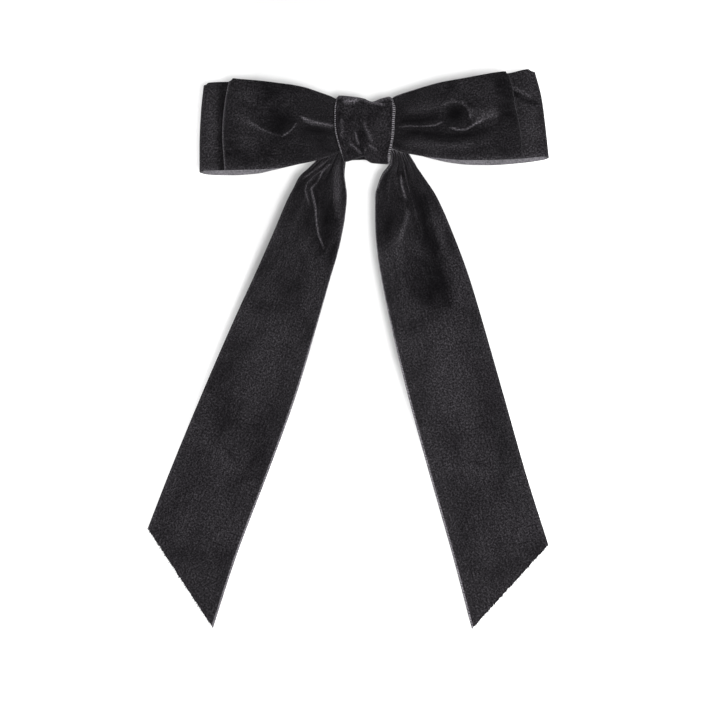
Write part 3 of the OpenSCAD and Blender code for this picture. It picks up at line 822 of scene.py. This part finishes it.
def wrap_section():
    """Side outline of the wrap: (y, z share, x share), from the front's foot up and round.

    z share is 1 at the top edge and -1 at the bottom one; x share narrows it behind."""
    front = WRAP_LOW.y
    shoulder = THREAD_HIGH.y + 0.3
    back = WRAP_HIGH.y
    low = (box_mm("clip_plate")[1].z + 1.2) / WRAP_HIGH.z
    half = []
    for i in range(11):
        half.append((front, 0.8 * i / 10, 1.0))
    for i in range(1, 10):
        angle = math.radians(10 * i)
        half.append((front + 2.6 * (1 - math.cos(angle)), 0.8 + 0.2 * math.sin(angle), 1.0))
    for i in range(1, 11):
        half.append((mix(front + 2.6, shoulder, i / 10), 1.0, mix(1.0, 0.92, i / 10)))
    for i in range(1, 13):
        t = i / 12
        half.append((mix(shoulder, back, t), mix(1.0, low, t), mix(0.92, 0.82, t)))
    for i in range(1, 9):
        half.append((back, low * (1 - i / 8), 0.82))
    sinking = [(y, -share, narrow) for y, share, narrow in half[::-1]]
    return half + sinking[1:-1]


def centre_wrap_ribbon(columns):
    section = wrap_section()
    fine = []
    for (a, b) in zip(section, section[1:] + section[:1]):
        for k in range(2):
            fine.append(tuple(mix(p, q, k / 2) for p, q in zip(a, b)))
    count = len(fine)
    walk = [0.0]
    for i in range(count):
        (ya, sa, _), (yb, sb, _) = fine[i], fine[(i + 1) % count]
        walk.append(walk[-1] + math.hypot(yb - ya, (sb - sa) * WRAP_HIGH.z))

    def place(u, v):
        i = round(u * count)
        y, share, narrow = fine[i % count]
        face = smooth((THREAD_MID - y) / (THREAD_MID - WRAP_LOW.y))
        rough_z = share * WRAP_HIGH.z
        left, right = WRAP_LEFT(rough_z), WRAP_RIGHT(rough_z)
        x = mix(right, left, v) * mix(narrow, 1.0, face)
        top = mix(WRAP_HIGH.z * 0.83, WRAP_TOP(x), smooth(face * 3 + 0.2))
        bottom = mix(-WRAP_HIGH.z * 0.85, WRAP_BOTTOM(x), smooth(face * 3 + 0.2))
        middle = RISE * face * 0.5
        z = mix(middle, top, share) if share >= 0 else mix(middle, bottom, -share)
        push, light = pressed(WRAP_FEATURES, x, z) if face > 0 else (0.0, 0.0)
        sink = -0.3 * face * (2 * v - 1) ** 8
        # painted highlight where the wrap turns over its top edge
        painted_top_sheen = 0.6 * smooth((share - 0.86) / 0.14) * face
        y = y - push * face + sink
        spot = at_depth(x, z, y) if face > 0 else Vector((x, y, z))
        return spot, (walk[i], v * WRAP_W, from_edge(v, WRAP_W, 1.1, 0.5)), light * face + painted_top_sheen

    made = cloth_strip("knot_wrap", count, columns, place, WRAP_RIBBON, closed=True, thick=WRAP_T)
    return made, walk[-1]


knot_wrap, wrap_length = centre_wrap_ribbon(44)


# ---------------------------------------------------------------- threads and fibres
STITCH_R = 0.17
SEWING_R = 0.19  # doubled thread


def tube(bm, points, radius, sides=6):
    """A closed tube along points, drawn in at both ends."""
    rings = []
    for i, point in enumerate(points):
        ahead = points[min(i + 1, len(points) - 1)] - points[max(i - 1, 0)]
        turn = ahead.to_track_quat("Z", "Y").to_matrix().to_4x4()
        turn.translation = point * MM
        end = 0.35 if i in (0, len(points) - 1) else 1.0
        ring = bmesh.ops.create_circle(bm, segments=sides, radius=radius * end * MM, matrix=turn,
                                       cap_ends=i in (0, len(points) - 1))
        rings.append([e for v in ring["verts"] for e in v.link_edges if not e.tag])
        for e in rings[-1]:
            e.tag = True
    for a, b in zip(rings, rings[1:]):
        bmesh.ops.bridge_loops(bm, edges=list(dict.fromkeys(a + b)))


def arch(start, end, lift, steps):
    """Points of a low arch from start to end that rises by lift, and dips in at its feet."""
    out = []
    for i in range(steps + 1):
        t = i / steps
        out.append(start.lerp(end, t) + lift * math.sin(math.pi * t) ** 0.6)
    return out


def sewn(name, rows, node):
    """Thread runs, each a list of points, as one piece that stands for a CAD node."""
    bm = bmesh.new()
    for points, radius in rows:
        tube(bm, points, radius)
    bmesh.ops.recalc_face_normals(bm, faces=bm.faces)
    made = finish_mesh(bm, name, [THREAD])
    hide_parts(node)
    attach(made, "bow")


def overcast_stitches():
    """Slanting stitches that close the wrap behind."""
    low, high = box_mm("wrap_stitches")
    count = 6
    rows = []
    for i in range(count):
        x = mix(low.x + 0.2, high.x - 0.9, i / (count - 1))
        foot = Vector((x, low.y - 0.05, low.z))
        head = Vector((x + 0.7, low.y - 0.05, high.z + 0.2))
        rows.append((arch(foot, head, Vector((0, 0.32, 0)), 8), STITCH_R))
    sewn("wrap_closing_stitches", rows, "wrap_stitches")


def plate_sewing():
    """Doubled thread that holds the loops to the plate through its four holes."""
    low, high = box_mm("plate_stitches")
    rows = []
    for side in (-1, 1):
        x = high.x - 0.35 if side > 0 else low.x + 0.35
        lean = (high.x - x) if side > 0 else (low.x - x)
        for k in (-1, 1):
            bottom = Vector((x + k * 0.22, high.y - 0.55, low.z + 0.35))
            top = Vector((x - k * 0.12, high.y - 0.55, high.z - 0.35))
            run = arch(bottom, top, Vector((-0.3 * lean, 0.5, 0)), 10)
            feet = [Vector((place.x * 1.002, low.y + 0.5, place.z)) for place in (bottom, top)]
            rows.append(([feet[0]] + run + [feet[1]], SEWING_R))
    sewn("plate_sewing_thread", rows, "plate_stitches")


overcast_stitches()
plate_sewing()


def frayed_cut(name, tail, count, seed, body):
    """Loose thread ends along a slanting cut."""
    draw = random.Random(seed)
    a = Vector((tail.left_edge(-tail.left_end), 0, tail.left_end))
    b = Vector((tail.right_edge(-tail.right_end), 0, tail.right_end))
    along = (b - a).normalized()
    out = Vector((along.z, 0, -along.x))
    if out.z > 0:
        out = -out
    bm = bmesh.new()
    for i in range(count):
        t = (i + draw.random()) / count
        spot = a.lerp(b, t)
        length = draw.uniform(0.4, 1.1) * (1.5 if draw.random() < 0.12 else 1.0)
        sideways = along * draw.uniform(-0.7, 0.7)
        lean = (out + sideways + Vector((0, draw.uniform(-0.35, 0.35), 0))).normalized()
        curl = Vector((draw.uniform(-0.3, 0.3), draw.uniform(-0.3, 0.3), draw.uniform(-0.3, 0.3)))
        start = at_depth(spot.x, spot.z, FLAT_Y + draw.uniform(-0.35, 0.2)) - lean * 0.35
        points = [start + lean * length * k / 3 + curl * (k / 3) ** 2 * length for k in range(4)]
        tube(bm, points, draw.uniform(0.07, 0.13), 3)
    bmesh.ops.recalc_face_normals(bm, faces=bm.faces)
    made = finish_mesh(bm, name, [FIBRE])
    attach(made, body)


frayed_cut("left_cut_fibres", LEFT_TAIL, 150, 3, "left_tail")
frayed_cut("right_cut_fibres", RIGHT_TAIL, 120, 5, "right_tail")


# ---------------------------------------------------------------- the pieces in the frame
for tail, name, lines in ((left_tail, "left_tail", LEFT_TAIL), (right_tail, "right_tail", RIGHT_TAIL)):
    hinge = Vector(JOINTS[name + "_swing"]["pos_m"])
    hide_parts(name, name + "_root")
    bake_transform(tail)
    short_side, long_side = sorted((
        edge_length(lines.left_edge, lines.left_end) + GATHERED_IN,
        edge_length(lines.right_edge, lines.right_end) + GATHERED_IN))
    TAIL_W * MM * (long_side + short_side) / 2 * MM

for loop, node, length in ((front_loop, "front_loop", front_length), (rear_loop, "rear_loop", rear_length)):
    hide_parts(node)
    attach(loop, "bow")
    length * MM

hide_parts("centre_wrap")
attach(knot_wrap, "bow")
wrap_length * MM

NODE_FINISH = {
    "clip_plate": CLIP_STEEL, "clip_arm": CLIP_STEEL, "tension_bar": SPRING_STEEL, "catch_base": SPRING_STEEL,
    "catch_wing_upper": SPRING_STEEL, "catch_wing_lower": SPRING_STEEL, "hinge_pin": PIN_STEEL,
    "catch_rivet": PIN_STEEL, "gather_thread": THREAD,
}
for node, finish in NODE_FINISH.items():
    slots = frame["nodes"][node].data.materials
    slots.clear()
    slots.append(finish)


# ---------------------------------------------------------------- stage, light and camera
FLOOR_Z = -262.0
CARD_Y = 105.0  # clear of the tails swung back and of the clip opened


def stage_finish(name, white, wash):
    """Plain paper that only its front face shows; wash is painted light, a glow of the paper's own at its
    sides and low down, away from the knot, that hides the bow's shadow there.
    """
    f = Finish(name)
    where = f.node("TexCoord", None, None, "Object")
    tooth = f.noise(where, 900.0, 2.0, 0.5)
    across = f.node("SeparateXYZ", None, {0: where}, 0)
    height = f.node("SeparateXYZ", None, {0: where}, 2)
    sides = f.ramp(across.math("ABSOLUTE"), 0.05, 0.085)
    below = f.ramp(height, -0.09, -0.135)
    # painted light: the card glows at its sides and low down, so the bow's shadow shows only round the knot
    away = sides.math("MAXIMUM", below) * wash
    glow = f.node("CombineColor", None, {0: away, 1: away, 2: away})
    paper = f.node("BsdfPrincipled", None, {
        "Base Color": (white, white, white, 1.0), "Roughness": 0.9, "Specular IOR Level": 0.1,
        "Emission Color": glow, "Emission Strength": 1.0, "Normal": f.bump(tooth, 0.05, 0.0001)})
    clear = f.node("BsdfTransparent")
    behind = f.node("NewGeometry", None, None, "Backfacing")
    both = f.node("MixShader", None, {0: behind, 1: paper, 2: clear})
    f.node("OutputMaterial", None, {"Surface": both})
    return f.material


def paper_plane(name, size, centre, turn, finish):
    """A square of paper that is seen, but throws no shadow and no light on the bow."""
    bm = bmesh.new()
    bmesh.ops.create_grid(bm, x_segments=1, y_segments=1, size=size)
    bmesh.ops.rotate(bm, verts=bm.verts, matrix=Matrix.Rotation(turn, 3, "X"))
    bmesh.ops.translate(bm, verts=bm.verts, vec=Vector(centre) * MM)
    plane = finish_mesh(bm, name, [finish])
    plane.visible_shadow = False
    plane.visible_diffuse = False
    plane.visible_glossy = False


paper_plane("backing_card", 0.8, (0, CARD_Y, FLOOR_Z + 800), math.radians(90),
            stage_finish("card paper", 0.78, 0.6))
paper_plane("pale_floor", 1.6, (0, 0, FLOOR_Z), 0.0, stage_finish("floor paper", 0.9, 0.0))


def area_light(name, spot, target, size, power):
    """A round lamp that shines on a point and isn't seen itself."""
    light = bpy.data.lights.new(name, "AREA")
    light.shape = "DISK"
    light.size = size
    light.energy = power
    made = bpy.data.objects.new(name, light)
    made.location = spot
    made.rotation_euler = (Vector(target) - Vector(spot)).to_track_quat("-Z", "Y").to_euler()
    made.visible_camera = False
    bpy.context.scene.collection.objects.link(made)


TARGET = (0.0, 0.0, -0.06)
area_light("key_lamp", (0.013, -0.805, -0.099), TARGET, 0.03, 6.9)
area_light("low_softbox", (0.55, -0.8, -0.4), TARGET, 0.4, 2.2)
area_light("back_softbox", (0.35, 0.9, 0.35), TARGET, 0.5, 7.0)

world = bpy.data.worlds.new("studio white")
bpy.context.scene.world = world
air = Finish("studio white", world)
camera_ray = air.node("LightPath")
strength = air.node("MapRange", None, {0: camera_ray, 3: 0.5, 4: 0.97})
sky = air.node("Background", None, {"Color": (1.0, 1.0, 1.0, 1.0), "Strength": strength})
air.node("OutputWorld", None, {"Surface": sky})
bpy.context.scene.view_settings.view_transform = "Standard"

lens = bpy.data.cameras.new("camera")
lens.lens = 100
lens.sensor_width = 36
camera = bpy.data.objects.new("camera", lens)
camera.location = EYE * MM
camera.rotation_euler = (math.radians(90), 0, 0)
bpy.context.scene.collection.objects.link(camera)
bpy.context.scene.camera = camera
